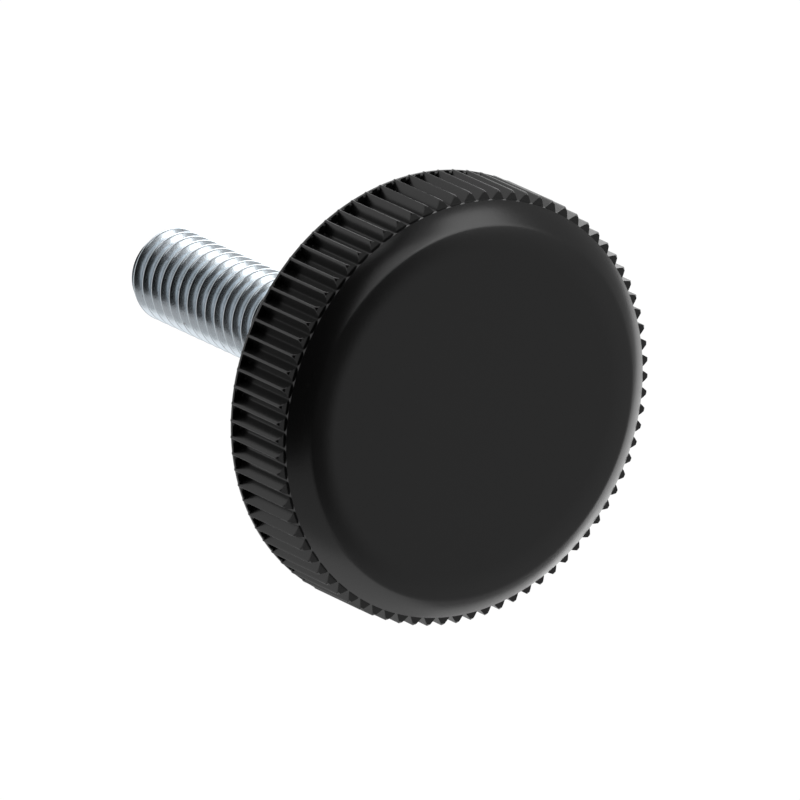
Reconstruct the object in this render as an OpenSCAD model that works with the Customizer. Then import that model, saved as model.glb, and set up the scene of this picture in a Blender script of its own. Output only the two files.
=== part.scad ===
// Knurled knob: a moulded head with a straight-knurled rim, on a threaded steel stud.
// The knob's axis is Z. The face looks up, the stud points down, and Z = 0 is the
// hub's seating face. Millimetres.

/* [Head] */
// Diameter over the crests of the knurl
knob_d = 28; // [22:0.5:40]
// Length of the knurled band along the axis
band_h = 5.2; // [4:0.1:12]
// Height of the smooth nose in front of the band
nose_h = 1.1; // [0.6:0.1:2]
// Height of the nose's own wall, below its dome
nose_wall = 0.15; // [0.1:0.05:0.4]
// Radius that rounds the nose into the flat face
nose_r = 4.5; // [2:0.1:6]
// How far the nose stands out beyond the bottoms of the grooves
nose_step = 0.05; // [0:0.05:0.2]

/* [Knurl] */
// Number of teeth around the band
teeth = 80; // [40:1:100]
// Radial depth of the grooves
groove_depth = 0.65; // [0.3:0.05:0.8]
// Width of the flat on each crest
crest_w = 0.08; // [0.05:0.01:0.2]
// Width of the flat at the bottom of each groove
root_w = 0.1; // [0.05:0.01:0.2]
// Bevel that breaks both ends of each tooth
tooth_bevel = 0.15; // [0.1:0.05:0.5]
// Thickness of the plain rim that closes the grooves at the back
rim_h = 0.3; // [0.2:0.1:1]
// How far the rim stands in from the crests
rim_step = 0.05; // [0.02:0.01:0.2]

/* [Hub] */
// Diameter of the boss around the stud
hub_d = 14; // [12:0.5:18]
// Height of the boss below the band
hub_h = 3.2; // [1:0.1:6]
// Bevel around the boss's seating face
hub_bevel = 0.3; // [0.1:0.1:0.8]
// Bevel that frees the seating face from the stud
seat_relief = 0.1; // [0.05:0.05:0.15]

/* [Stud] */
// Outside diameter of the stud's thread
stud_d = 6; // [5:1:8]
// Length of the stud below the seating face
stud_l = 25; // [10:1:60]
// Bevel at the stud's tip
tip_bevel = 0.8; // [0.4:0.1:1.2]
// Diameter of the neck that the moulding closes round
neck_d = 5; // [4:0.5:6]
// Width across the flats of the anchor head inside the moulding
anchor_af = 10; // [9:0.5:11]
// Thickness of the anchor head
anchor_h = 4; // [2:0.5:5]

/* [Hidden] */

head_colour = [0.10, 0.10, 0.11];
stud_colour = [0.72, 0.76, 0.80];
round_fn = 128;

crest_r = knob_d / 2;
root_r = crest_r - groove_depth;
nose_base_r = root_r + nose_step;
band_z0 = hub_h;
band_z1 = band_z0 + band_h;
face_z = band_z1 + nose_h;

// The dome's arc is tangent to the flat face and ends on top of the nose's wall.
dome_h = nose_h - nose_wall;
nose_sweep = acos(1 - dome_h / nose_r);
flat_r = nose_base_r - nose_r * sin(nose_sweep);

// The anchor head sits halfway between the seating face and the front face.
anchor_z = (face_z - anchor_h) / 2;
anchor_corner_r = anchor_af / 2 / cos(30);

function polar(r, a) = [r * cos(a), r * sin(a)];

// Half the angle that a flat of width w covers at radius r.
function half_angle(w, r) = asin(w / 2 / r);

// One tooth of the knurl, from the middle of one groove to the middle of the next.
function tooth(i) =
    let (mid = (i + 0.5) * 360 / teeth,
         low = i * 360 / teeth + half_angle(root_w, root_r),
         high = (i + 1) * 360 / teeth - half_angle(root_w, root_r),
         crest = half_angle(crest_w, crest_r))
    [polar(root_r, low), polar(crest_r, mid - crest),
     polar(crest_r, mid + crest), polar(root_r, high)];

module knurl_outline() {
    polygon([for (i = [0 : teeth - 1]) each tooth(i)]);
}

// Solid of revolution that trims the teeth to length and bevels their ends.
module band_envelope() {
    rotate_extrude($fn = round_fn)
        polygon([
            [0, band_z0],
            [crest_r - tooth_bevel, band_z0],
            [crest_r + 1, band_z0 + tooth_bevel + 1],
            [crest_r + 1, band_z1 - tooth_bevel - 1],
            [crest_r - tooth_bevel, band_z1],
            [0, band_z1]
        ]);
}

module knurled_band() {
    intersection() {
        translate([0, 0, band_z0]) linear_extrude(band_h) knurl_outline();
        band_envelope();
    }
}

// The grooves stop against this plain rim instead of running out at the back.
module back_rim() {
    intersection() {
        translate([0, 0, band_z0]) cylinder(h = rim_h, r = crest_r - rim_step, $fn = round_fn);
        band_envelope();
    }
}

// The nose reaches back into the band, so that the two are one solid.
module nose() {
    rotate_extrude($fn = round_fn) {
        translate([0, band_z0 + band_h / 2]) square([flat_r, band_h / 2 + nose_h]);
        translate([0, band_z0 + band_h / 2]) square([nose_base_r, band_h / 2 + nose_wall]);
        intersection() {
            translate([flat_r, face_z - nose_r]) circle(r = nose_r, $fn = round_fn);
            translate([flat_r, band_z1 + nose_wall]) square([nose_r, dome_h]);
        }
    }
}

module hub() {
    rotate_extrude($fn = round_fn)
        polygon([
            [0, 0],
            [hub_d / 2 - hub_bevel, 0],
            [hub_d / 2, hub_bevel],
            [hub_d / 2, band_z0 + band_h / 2],
            [0, band_z0 + band_h / 2]
        ]);
}

// The full diameter runs on through the hub's relief, and the neck starts there.
module stud_shape() {
    translate([0, 0, -stud_l])
        cylinder(h = tip_bevel, r1 = stud_d / 2 - tip_bevel, r2 = stud_d / 2, $fn = round_fn);
    translate([0, 0, tip_bevel - stud_l])
        cylinder(h = stud_l - tip_bevel + seat_relief, d = stud_d, $fn = round_fn);
    cylinder(h = anchor_z + anchor_h / 2, d = neck_d, $fn = round_fn);
    translate([0, 0, anchor_z]) cylinder(h = anchor_h, r = anchor_corner_r, $fn = 6);
}

module seat_bevel() {
    cylinder(h = seat_relief, r1 = stud_d / 2 + seat_relief, r2 = stud_d / 2, $fn = round_fn);
}

// The head is moulded round the stud, so its cavity is the stud's own shape.
module knob_head() {
    color(head_colour)
        difference() {
            union() {
                knurled_band();
                back_rim();
                nose();
                hub();
            }
            stud_shape();
            seat_bevel();
        }
}

module threaded_stud() {
    color(stud_colour) stud_shape();
}

knob_head();
threaded_stud();
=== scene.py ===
import math
import bmesh
import bpy
import numpy as np
from mathutils import Matrix, Vector


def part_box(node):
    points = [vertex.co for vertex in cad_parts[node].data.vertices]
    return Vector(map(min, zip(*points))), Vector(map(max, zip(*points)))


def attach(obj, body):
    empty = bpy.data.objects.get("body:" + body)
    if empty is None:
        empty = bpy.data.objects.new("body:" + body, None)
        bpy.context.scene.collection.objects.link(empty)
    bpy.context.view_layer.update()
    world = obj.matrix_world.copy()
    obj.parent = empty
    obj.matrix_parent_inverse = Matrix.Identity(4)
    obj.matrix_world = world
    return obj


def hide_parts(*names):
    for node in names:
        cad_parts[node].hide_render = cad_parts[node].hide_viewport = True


# A knurled hand knob: a black moulded head on a zinc-plated threaded stud.
# The knob's axis is Z, its face looks up, and Z = 0 is the hub's seating face. Metres.

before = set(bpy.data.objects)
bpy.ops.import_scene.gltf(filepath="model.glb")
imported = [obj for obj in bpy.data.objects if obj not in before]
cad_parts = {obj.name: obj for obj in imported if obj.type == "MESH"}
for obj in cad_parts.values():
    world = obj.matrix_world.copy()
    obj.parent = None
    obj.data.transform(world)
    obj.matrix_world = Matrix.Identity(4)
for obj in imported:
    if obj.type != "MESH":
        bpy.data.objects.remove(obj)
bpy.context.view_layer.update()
headLow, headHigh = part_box("knob_head")
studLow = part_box("threaded_stud")[0]
faceHeight = headHigh.z
mm = 0.001
print("frame loaded, head", round((headHigh.x - headLow.x) / mm, 2), "mm across")


def meshPiece(name, points, faces, material):
    # an object at the origin from an array of points and lists of corners
    mesh = bpy.data.meshes.new(name)
    mesh.from_pydata(points.tolist(), [], faces)
    mesh.validate()
    mesh.materials.append(material)
    piece = bpy.data.objects.new(name, mesh)
    bpy.context.scene.collection.objects.link(piece)
    return piece


def softMin(a, b, width):
    # the smaller of two values, with the corner between them rounded over the given width
    gap = np.maximum(width - np.abs(a - b), 0.0)
    return np.minimum(a, b) - gap ** 2 / (4 * width)


def softMax(a, b, width):
    return -softMin(-a, -b, width)


camera = {
    "azimuth": 131.1, "elevation": 51.48, "roll": -114.8,  # degrees
    "distance": 1.5, "lens": 1092.0, "sensor": 36.0,  # metres, then millimetres
    "aimHeight": 8.25 * mm, "aimRight": 3.86 * mm, "aimUp": -0.494 * mm,
}


def cameraAxes():
    # right, up and back: the level camera of that azimuth and elevation, rolled about its sight line
    a, e, r = (math.radians(camera[key]) for key in ("azimuth", "elevation", "roll"))
    back = Vector((math.sin(a) * math.cos(e), -math.cos(a) * math.cos(e), math.sin(e)))
    levelUp = (Vector((0, 0, 1)) - back * back.z).normalized()
    levelRight = levelUp.cross(back)
    up = levelUp * math.cos(r) + levelRight * math.sin(r)
    return up.cross(back), up, back


camRight, camUp, camBack = cameraAxes()


def toWorld(direction):
    # a direction given as the camera's right, up and back, turned into the scene's axes
    x, y, z = direction
    return (camRight * x + camUp * y + camBack * z).normalized()


def makeCamera():
    data = bpy.data.cameras.new("camera")
    data.lens = camera["lens"]
    data.sensor_width = camera["sensor"]
    data.clip_start, data.clip_end = 0.05, 20.0
    obj = bpy.data.objects.new("camera", data)
    bpy.context.scene.collection.objects.link(obj)
    target = Vector((0, 0, camera["aimHeight"])) - camRight * camera["aimRight"] - camUp * camera["aimUp"]
    place = Matrix((camRight, camUp, camBack)).transposed().to_4x4()
    place.translation = target + camBack * camera["distance"]
    obj.matrix_world = place
    bpy.context.scene.camera = obj


makeCamera()
print("camera placed")

studio = {
    "floorSize": 3.0, "floorDrop": 60 * mm, "world": 0.42,
    "floorSeen": 0.98, "floorReflected": 0.65,  # the floor's brightness to the camera and in reflections
}
# soft boxes: toward is a direction in the camera's axes, and brightness is the panel's own
softBoxes = [
    {"name": "keyPanel", "toward": (0.87, 0.22, 0.43),
     "distance": 0.45, "size": (0.16, 0.30), "brightness": 2.1},
    {"name": "keyFill", "toward": (0.68, 0.08, 0.73),
     "distance": 0.38, "size": (0.16, 0.15), "brightness": 1.0},
    {"name": "topFront", "toward": (0.30, 0.55, 0.78),
     "distance": 0.42, "size": (0.12, 0.12), "brightness": 1.2},
    {"name": "above", "toward": (0.12, 0.98, 0.14),
     "distance": 0.35, "size": (0.26, 0.20), "brightness": 1.2},
    {"name": "skyPanel", "toward": (0.20, 0.80, -0.56),
     "distance": 0.11, "size": (0.16, 0.12), "brightness": 1.6},
    {"name": "rightBehind", "toward": (0.49, -0.12, -0.86),
     "distance": 0.16, "size": (0.16, 0.14), "brightness": 1.1},
    {"name": "lowerBehind", "toward": (0.28, -0.64, -0.71),
     "distance": 0.20, "size": (0.14, 0.14), "brightness": 0.9},
    {"name": "below", "toward": (0.18, -0.97, -0.02),
     "distance": 0.45, "size": (0.35, 0.35), "brightness": 0.65},
]
# dark cards that keep the studio out of some reflections
darkCards = [
    {"name": "cameraCard", "toward": (-0.12, 0.10, 0.98), "distance": 0.5, "size": (1.0, 1.1)},
    {"name": "lowerCard", "toward": (0.63, -0.32, 0.71), "distance": 0.45, "size": (0.40, 0.32)},
]


def facing(toward, distance):
    # a place at that distance along the direction, with local Z pointing away from the knob
    # and local X lying level in the picture
    z = toWorld(toward)
    x = camUp.cross(z).normalized()
    turn = Matrix((x, z.cross(x), z)).transposed().to_4x4()
    turn.translation = z * distance
    return turn


def plainMaterial(name, colour, glow):
    material = bpy.data.materials.new(name)
    material.use_nodes = True
    shader = material.node_tree.nodes["Principled BSDF"]
    shader.inputs["Base Color"].default_value = (*colour, 1)
    shader.inputs["Roughness"].default_value = 1.0
    shader.inputs["Specular IOR Level"].default_value = 0.0
    shader.inputs["Emission Color"].default_value = (1, 1, 1, 1)
    shader.inputs["Emission Strength"].default_value = glow
    return material


def makeFloor():
    half = studio["floorSize"] / 2
    z = studLow.z - studio["floorDrop"]
    corners = np.array([(-half, -half, z), (half, -half, z), (half, half, z), (-half, half, z)])
    material = plainMaterial("paleFloor", (0.05, 0.05, 0.05), 1.0)
    add, link = material.node_tree.nodes.new, material.node_tree.links.new
    rays, glow = add("ShaderNodeLightPath"), add("ShaderNodeMapRange")
    glow.inputs["To Min"].default_value = studio["floorReflected"]
    glow.inputs["To Max"].default_value = studio["floorSeen"]
    link(rays.outputs["Is Camera Ray"], glow.inputs["Value"])
    link(glow.outputs["Result"], material.node_tree.nodes["Principled BSDF"].inputs["Emission Strength"])
    meshPiece("floor", corners, [(0, 1, 2, 3)], material)


def makeLights():
    for box in softBoxes:
        light = bpy.data.lights.new(box["name"], "AREA")
        light.shape = "RECTANGLE"
        light.size, light.size_y = box["size"]
        light.energy = box["brightness"] * math.pi * box["size"][0] * box["size"][1]
        obj = bpy.data.objects.new(box["name"], light)
        bpy.context.scene.collection.objects.link(obj)
        obj.matrix_world = facing(box["toward"], box["distance"])
        obj.visible_camera = False


def makeCards():
    black = plainMaterial("blackCard", (0.01, 0.01, 0.01), 0.0)
    for card in darkCards:
        x, y = card["size"][0] / 2, card["size"][1] / 2
        place = facing(card["toward"], card["distance"])
        corners = np.array([place @ Vector(p) for p in ((-x, -y, 0), (x, -y, 0), (x, y, 0), (-x, y, 0))])
        obj = meshPiece(card["name"], corners, [(0, 1, 2, 3)], black)
        obj.visible_camera = False


def makeWorld():
    world = bpy.data.worlds.new("studio")
    world.use_nodes = True
    back = world.node_tree.nodes["Background"]
    back.inputs["Color"].default_value = (1, 1, 1, 1)
    back.inputs["Strength"].default_value = studio["world"]
    bpy.context.scene.world = world
    bpy.context.scene.view_settings.view_transform = "Standard"


makeFloor()
makeLights()
makeCards()
makeWorld()
print("studio ready")


def surfaceGroup():
    # shared unevenness of a finish: broad clouds, fine grain and sparse specks, all from 0 to 1
    group = bpy.data.node_groups.new("surfaceUnevenness", "ShaderNodeTree")
    defaults = {"Cloud Scale": 200.0, "Grain Scale": 4000.0, "Speck Scale": 700.0, "Speck Size": 0.05}
    for name, value in defaults.items():
        socket = group.interface.new_socket(name=name, in_out="INPUT", socket_type="NodeSocketFloat")
        socket.default_value = value
    for name in ("Clouds", "Grain", "Specks"):
        group.interface.new_socket(name=name, in_out="OUTPUT", socket_type="NodeSocketFloat")
    add, link = group.nodes.new, group.links.new
    source, result, place = add("NodeGroupInput"), add("NodeGroupOutput"), add("ShaderNodeTexCoord")
    for wanted, detail, name in (("Cloud Scale", 3.0, "Clouds"), ("Grain Scale", 1.0, "Grain")):
        noise = add("ShaderNodeTexNoise")
        noise.inputs["Detail"].default_value = detail
        link(place.outputs["Object"], noise.inputs["Vector"])
        link(source.outputs[wanted], noise.inputs["Scale"])
        link(noise.outputs["Fac"], result.inputs[name])
    cells, below = add("ShaderNodeTexVoronoi"), add("ShaderNodeMath")
    below.operation = "LESS_THAN"  # a speck is the middle of a cell
    link(place.outputs["Object"], cells.inputs["Vector"])
    link(source.outputs["Speck Scale"], cells.inputs["Scale"])
    link(cells.outputs["Distance"], below.inputs[0])
    link(source.outputs["Speck Size"], below.inputs[1])
    link(below.outputs["Value"], result.inputs["Specks"])
    return group


unevenness = surfaceGroup()


def finish(name, look):
    # one finish: colour, roughness and height vary with the shared group's clouds, grain and specks
    material = bpy.data.materials.new(name)
    material.use_nodes = True
    add, link = material.node_tree.nodes.new, material.node_tree.links.new
    shader = material.node_tree.nodes["Principled BSDF"]
    surface = add("ShaderNodeGroup")
    surface.node_tree = unevenness
    for key in ("Cloud Scale", "Grain Scale", "Speck Scale", "Speck Size"):
        surface.inputs[key].default_value = look[key]
    tint, specks = add("ShaderNodeMix"), add("ShaderNodeMix")
    for mix in (tint, specks):
        mix.data_type = "RGBA"
    tint.inputs["A"].default_value = (*look["darkColour"], 1)
    tint.inputs["B"].default_value = (*look["lightColour"], 1)
    specks.inputs["B"].default_value = (*look["speckColour"], 1)
    link(surface.outputs["Clouds"], tint.inputs["Factor"])
    link(tint.outputs["Result"], specks.inputs["A"])
    link(surface.outputs["Specks"], specks.inputs["Factor"])
    link(specks.outputs["Result"], shader.inputs["Base Color"])
    rough = add("ShaderNodeMapRange")
    rough.inputs["To Min"].default_value, rough.inputs["To Max"].default_value = look["roughness"]
    link(surface.outputs["Clouds"], rough.inputs["Value"])
    link(rough.outputs["Result"], shader.inputs["Roughness"])
    bump = add("ShaderNodeBump")
    bump.inputs["Strength"].default_value = look["bumpStrength"]
    bump.inputs["Distance"].default_value = look["bumpHeight"]
    link(surface.outputs["Grain"], bump.inputs["Height"])
    link(bump.outputs["Normal"], shader.inputs["Normal"])
    shader.inputs["Metallic"].default_value = look["metallic"]
    shader.inputs["IOR"].default_value = look["ior"]
    return material


mouldedPlastic = {
    "darkColour": (0.0046, 0.0046, 0.0047), "lightColour": (0.007, 0.007, 0.007),
    "speckColour": (0.009, 0.009, 0.009),
    "Cloud Scale": 160.0, "Grain Scale": 5000.0, "Speck Scale": 450.0, "Speck Size": 0.06,
    "roughness": (0.20, 0.26), "bumpStrength": 0.15, "bumpHeight": 0.01 * mm, "metallic": 0.0, "ior": 1.55,
}
zincPlate = {
    "darkColour": (0.62, 0.70, 0.76), "lightColour": (0.80, 0.85, 0.90), "speckColour": (0.55, 0.58, 0.62),
    "Cloud Scale": 500.0, "Grain Scale": 6000.0, "Speck Scale": 900.0, "Speck Size": 0.10,
    "roughness": (0.16, 0.30), "bumpStrength": 0.3, "bumpHeight": 0.01 * mm, "metallic": 1.0, "ior": 1.5,
}

knobHead = {
    "teeth": 80, "crestRadius": 14.0 * mm, "grooveDepth": 0.65 * mm,
    "crestFlat": 0.08 * mm, "rootFlat": 0.08 * mm,
    "cornerSoftness": 0.10, "toothBevel": 0.15 * mm, "crestScatter": 0.012 * mm,
    "bandStart": 3.2 * mm, "bandEnd": 8.4 * mm, "rimThickness": 0.3 * mm, "rimStep": 0.05 * mm,
    "noseStep": 0.05 * mm, "noseWall": 0.15 * mm, "noseRows": 32,
    "noseSlopes": ((10.3, 0), (11.9, 9), (12.15, 24), (13.4, 39)),  # radius in mm and slope in degrees
    "hubRadius": 7.0 * mm, "hubBevel": 0.3 * mm, "boreRadius": 2.4 * mm, "boreDepth": 1.0 * mm,
    "seatRadius": 3.1 * mm, "seatBevel": 0.1 * mm,
    "edgeSoftness": 0.03 * mm, "scatterSeed": 7, "sharpAngle": 38.0,
}
# where the columns of one tooth stand, as shares of the tooth's pitch from its crest
toothColumns = np.array([-0.45, -0.40, -0.25, -0.11, -0.075, -0.035, 0.0,
                         0.035, 0.075, 0.11, 0.25, 0.40, 0.45, 0.5])


def toothRadius(share):
    # radius across one tooth: root radius plus the depth times a ramp that is 0 in the groove
    # and 1 on the crest, straight along the flank and rounded at both ends
    k = knobHead
    pitch = 2 * math.pi * k["crestRadius"] / k["teeth"]
    offCrest = np.abs(share) * pitch
    run = (pitch - k["crestFlat"] - k["rootFlat"]) / 2
    ramp = (pitch / 2 - k["rootFlat"] / 2 - offCrest) / run
    ramp = softMax(softMin(ramp, 1.0, k["cornerSoftness"]), 0.0, k["cornerSoftness"])
    return k["crestRadius"] - k["grooveDepth"] * (1 - ramp)


def noseCurve():
    # from the nose's wall to the flat face: the slope runs between its knots along the radius, gentle
    # at first, quick over the knuckle and steeper down to the wall; the rows crowd where it turns
    k = knobHead
    base = k["crestRadius"] - k["grooveDepth"] + k["noseStep"]
    knotRadius, knotSlope = np.array(k["noseSlopes"]).T
    radius = np.linspace(knotRadius[0] * mm, base, 600)
    slope = np.radians(np.interp(radius, knotRadius * mm, knotSlope))
    fall = np.tan((slope[1:] + slope[:-1]) / 2) * (radius[1] - radius[0])
    drop = np.concatenate([[0], np.cumsum(fall)])
    drop = drop / drop[-1] * (faceHeight - k["bandEnd"] - k["noseWall"])
    spread = (radius - radius[0]) / (radius[-1] - radius[0]) + slope / slope[-1]
    pick = np.interp(np.linspace(1.99, 0, k["noseRows"]), spread, np.arange(len(radius))).round().astype(int)
    return radius[pick], faceHeight - drop[pick]


def headRows():
    # the profile as (radius, height, limit, least): limit is how far out the teeth may reach in
    # that row and least how far in the grooves may; a limit of 0 marks a plain round row
    k = knobHead
    start, end, bevel, crest = k["bandStart"], k["bandEnd"], k["toothBevel"], k["crestRadius"]
    hub, edge, bore, seat = k["hubRadius"], k["hubBevel"], k["boreRadius"], k["seatRadius"]
    root = crest - k["grooveDepth"]
    base = root + k["noseStep"]
    rim, rimRadius = k["rimThickness"], crest - k["rimStep"]
    rows = [(0.3 * bore, k["boreDepth"], 0, 0), (bore, k["boreDepth"], 0, 0),
            (bore, k["seatBevel"] * 1.2, 0, 0),
            (seat - k["seatBevel"], k["seatBevel"], 0, 0), (seat, 0, 0, 0),
            ((seat + hub) / 2, 0, 0, 0), (hub - edge * 1.1, 0, 0, 0), (hub - edge * 0.7, edge * 0.12, 0, 0),
            (hub - edge * 0.3, edge * 0.42, 0, 0), (hub, edge * 1.1, 0, 0),
            (hub, start - 0.35 * mm, 0, 0), (hub + 0.06 * mm, start - 0.15 * mm, 0, 0),
            (hub + 0.2 * mm, start - 0.03 * mm, 0, 0), (hub + 0.4 * mm, start, 0, 0),
            (root - 0.4 * mm, start, 0, 0), (rimRadius - 0.15 * mm, start, 0, 0)]
    # the back of the band: a thin plain rim closes the grooves
    for c in (0.0, 0.3, 0.65, 1.0):
        cutIn = (1 - c) ** 2
        rows.append((0, start + c * bevel, crest - bevel * cutIn, rimRadius - 0.08 * mm * cutIn))
    rows += [(0, start + rim - 0.03 * mm, crest + bevel, rimRadius),
             (0, start + rim, crest + bevel, rimRadius - 0.03 * mm),
             (0, start + rim + 0.02 * mm, crest + bevel, root + 0.05 * mm),
             (0, start + rim + 0.07 * mm, crest + bevel, 0)]
    # the grooves' straight run stops short of the height where the bevel's own rows begin
    straight = np.linspace(start + rim + 0.3 * mm, end - 1.3 * bevel, 4, endpoint=False)
    rows += [(0, z, crest + bevel, 0) for z in straight]
    cut = (1.3, 1.0, 0.7, 0.45, 0.2, 0.0)
    rows += [(0, end - c * bevel, crest - bevel * max(1 - c, -0.5), 0) for c in cut]
    # the nose's own wall, with its upper corner rounded into the dome
    noseRadius, noseHeight = noseCurve()
    wall = k["noseWall"]
    rows += [(base, end, 0, 0), (base, end + wall * 0.55, 0, 0), (base - 0.006 * mm, end + wall * 0.8, 0, 0)]
    rows += [(r, z, 0, 0) for r, z in zip(noseRadius, noseHeight)]
    inner = noseRadius[-1]
    rows += [(inner * share, faceHeight, 0, 0) for share in (0.93, 0.82, 0.6, 0.35, 0.1)]
    return np.array(rows)


def makeKnobHead(material):
    # a grid of rows along the profile by columns around the teeth, closed by a fan at each end
    k = knobHead
    rows = headRows()
    tooth = np.arange(k["teeth"])
    angle = ((tooth[:, None] + 0.5 + toothColumns[None, :]) * 2 * math.pi / k["teeth"]).ravel()
    scatter = np.random.default_rng(k["scatterSeed"]).uniform(-1, 0, k["teeth"]) * k["crestScatter"]
    outline = toothRadius(np.tile(toothColumns, k["teeth"]))
    reach = (outline - outline.min()) / (outline.max() - outline.min())
    outline = outline + reach * np.repeat(scatter, len(toothColumns))
    plain = rows[:, 2:3] == 0
    toothed = np.maximum(softMin(outline[None, :], rows[:, 2:3], k["edgeSoftness"]), rows[:, 3:4])
    radius = np.where(plain, rows[:, 0:1], toothed)
    height = np.broadcast_to(rows[:, 1:2], radius.shape)
    points = np.stack([radius * np.cos(angle), radius * np.sin(angle), height], axis=-1).reshape(-1, 3)
    columns = len(angle)
    j, i = np.meshgrid(np.arange(len(rows) - 1), np.arange(columns), indexing="ij")
    beside = (i + 1) % columns
    here, above = j * columns, (j + 1) * columns
    quads = np.stack([here + i, here + beside, above + beside, above + i], axis=-1)
    faces = quads.reshape(-1, 4).tolist()
    low, high = len(points), len(points) + 1
    points = np.vstack([points, [0, 0, k["boreDepth"]], [0, 0, faceHeight]])
    last = (len(rows) - 1) * columns
    faces += [[low, (c + 1) % columns, c] for c in range(columns)]
    faces += [[last + c, last + (c + 1) % columns, high] for c in range(columns)]
    piece = meshPiece("knobHead", points, faces, material)
    piece.data.shade_smooth()
    piece.data.set_sharp_from_angle(angle=math.radians(k["sharpAngle"]))
    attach(piece, "root")
    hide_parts("knob_head")


makeKnobHead(finish("mouldedPlastic", mouldedPlastic))
print("knob head made")

threadedStud = {
    "radius": 3.0 * mm, "pitch": 1.0 * mm, "depth": 0.6134 * mm, "crestFlat": 0.125 * mm,
    "rootFlat": 0.25 * mm, "cornerSoftness": 0.22, "tipRadius": 2.2 * mm, "tipHeight": 0.8 * mm,
    "inside": 0.9 * mm, "perTurn": 128, "phase": 0.0, "sharpAngle": 50.0,
}
# where the columns of one turn stand, as shares of the pitch from a crest
threadColumns = np.array([0.0, 0.035, 0.07, 0.11, 0.25, 0.34, 0.40, 0.45,
                          0.55, 0.60, 0.66, 0.75, 0.89, 0.93, 0.965])


def threadRadius(z, angle):
    # outside radius less the depth times a ramp across the pitch: a right-hand helix with its crest
    # at whole turns, 60 degree flanks and rounded crest and root, cut back by the tip's cone
    s = threadedStud
    turn = (z / s["pitch"] - angle / (2 * math.pi) + s["phase"]) % 1.0
    offCrest = np.minimum(turn, 1 - turn) * s["pitch"]
    run = (s["pitch"] - s["crestFlat"] - s["rootFlat"]) / 2
    ramp = (s["pitch"] / 2 - s["rootFlat"] / 2 - offCrest) / run
    ramp = softMax(softMin(ramp, 1.0, s["cornerSoftness"]), 0.0, s["cornerSoftness"])
    radius = s["radius"] - s["depth"] * (1 - ramp)
    cone = s["tipRadius"] + (s["radius"] - s["tipRadius"]) * (z - studLow.z) / s["tipHeight"]
    return softMin(radius, cone, 0.08 * mm)


def makeThreadedStud(material):
    # a strip of columns across one pitch, carried along the helix and clipped at both ends
    s = threadedStud
    low, high = studLow.z, s["inside"]
    turns = int(math.ceil((high - low) / s["pitch"])) + 3
    n, m = s["perTurn"], len(threadColumns)
    along = np.arange(turns * n + 1)
    start = math.floor(low / s["pitch"]) - 1 - s["phase"]
    z = np.clip((start + along[:, None] / n + threadColumns[None, :]) * s["pitch"], low, high)
    theta = np.broadcast_to(along[:, None] * 2 * math.pi / n, z.shape)
    radius = threadRadius(z, theta)
    points = np.stack([radius * np.cos(theta), radius * np.sin(theta), z], axis=-1).reshape(-1, 3)
    i, j = np.meshgrid(np.arange((turns - 1) * n), np.arange(m), indexing="ij")
    corner = lambda a, b: np.where(b < m, a * m + b, (a + n) * m)
    quads = np.stack([corner(i, j), corner(i + 1, j), corner(i + 1, j + 1), corner(i, j + 1)], axis=-1)
    piece = meshPiece("threadedStud", points, quads.reshape(-1, 4).tolist(), material)
    build = bmesh.new()
    build.from_mesh(piece.data)
    bmesh.ops.remove_doubles(build, verts=build.verts, dist=1e-7)
    bmesh.ops.dissolve_degenerate(build, dist=1e-7, edges=build.edges)
    bmesh.ops.delete(build, geom=[v for v in build.verts if not v.link_faces], context="VERTS")
    bmesh.ops.contextual_create(build, geom=[e for e in build.edges if e.is_boundary])  # closes both ends
    print("stud's open edges", len([e for e in build.edges if e.is_boundary]))
    build.to_mesh(piece.data)
    build.free()
    piece.data.shade_smooth()
    piece.data.set_sharp_from_angle(angle=math.radians(s["sharpAngle"]))
    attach(piece, "root")
    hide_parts("threaded_stud")


makeThreadedStud(finish("zincPlate", zincPlate))
print("threaded stud made")
